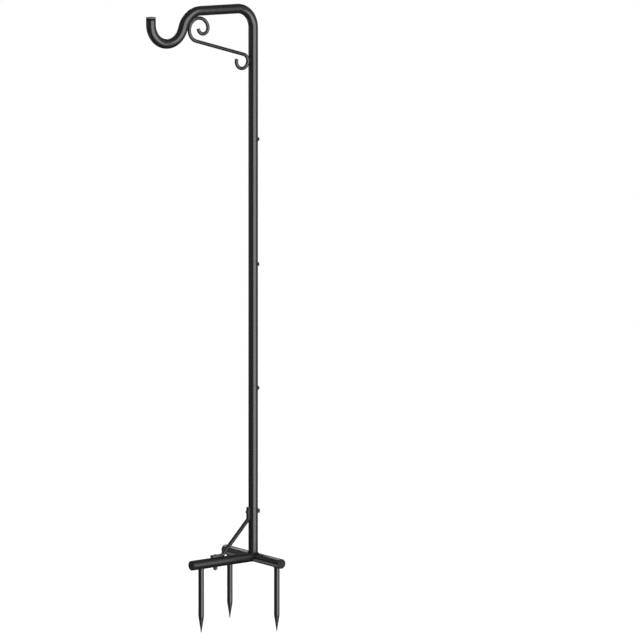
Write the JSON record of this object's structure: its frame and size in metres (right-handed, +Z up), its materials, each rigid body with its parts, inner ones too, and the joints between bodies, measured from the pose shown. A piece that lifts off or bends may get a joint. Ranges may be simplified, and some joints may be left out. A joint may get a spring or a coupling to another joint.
{
  "type": "hanging plant stand",
  "caption": "Freestanding metal stand with a screwed tube pole, an open hook at the top, a scroll brace and a spiked T-shaped base, for hanging a plant outdoors.",
  "frame": {"origin": "on the pole's axis at the ground line, level with the underside of the base tubes, so the spikes reach below z = 0", "axes": "+Z up along the pole; the hook and the long base tube point to -X; the cross tube lies along Y"},
  "size_m": [0.3632, 0.2512, 1.6583],
  "materials": {
    "hook_coat": "semi-gloss black powder coat on steel tube",
    "pole_coat": "semi-gloss black powder coat on steel tube",
    "scroll_coat": "semi-gloss black powder coat on steel rod",
    "base_coat": "semi-gloss black powder coat on steel tube",
    "spike_coat": "semi-gloss black powder coat on solid steel",
    "strap_coat": "semi-gloss black powder coat on flat steel",
    "weld_coat": "weld beads under the same black powder coat",
    "screw_steel": "black finished steel pan-head screws",
    "nut_steel": "black zinc-plated steel",
    "hook_cap_plastic": "matte dark grey plastic",
    "base_cap_plastic": "matte black plastic"
  },
  "bodies": {
    "root": {"hook_tube": "hook_coat", "hook_end_cap": "hook_cap_plastic", "scroll_rod": "scroll_coat", "shoulder_weld": "weld_coat", "foot_weld": "weld_coat", "upper_pole": "pole_coat", "middle_pole": "pole_coat", "lower_pole": "pole_coat", "base_post": "base_coat", "upper_joint_screw": "screw_steel", "middle_joint_screw": "screw_steel", "lower_joint_screw": "screw_steel", "upper_joint_nut": "nut_steel", "middle_joint_nut": "nut_steel", "lower_joint_nut": "nut_steel", "long_base_tube": "base_coat", "cross_base_tube": "base_coat", "hub_weld": "weld_coat", "long_tube_cap": "base_cap_plastic", "front_cross_cap": "base_cap_plastic", "rear_cross_cap": "base_cap_plastic", "long_tube_spike": "spike_coat", "front_cross_spike": "spike_coat", "rear_cross_spike": "spike_coat", "brace_strap": "strap_coat", "brace_top_bolt": "screw_steel", "brace_top_washer": "nut_steel", "brace_top_nut": "nut_steel", "brace_foot_bolt": "screw_steel", "brace_foot_washer": "nut_steel", "brace_foot_nut": "nut_steel"}
  },
  "joints": []
}
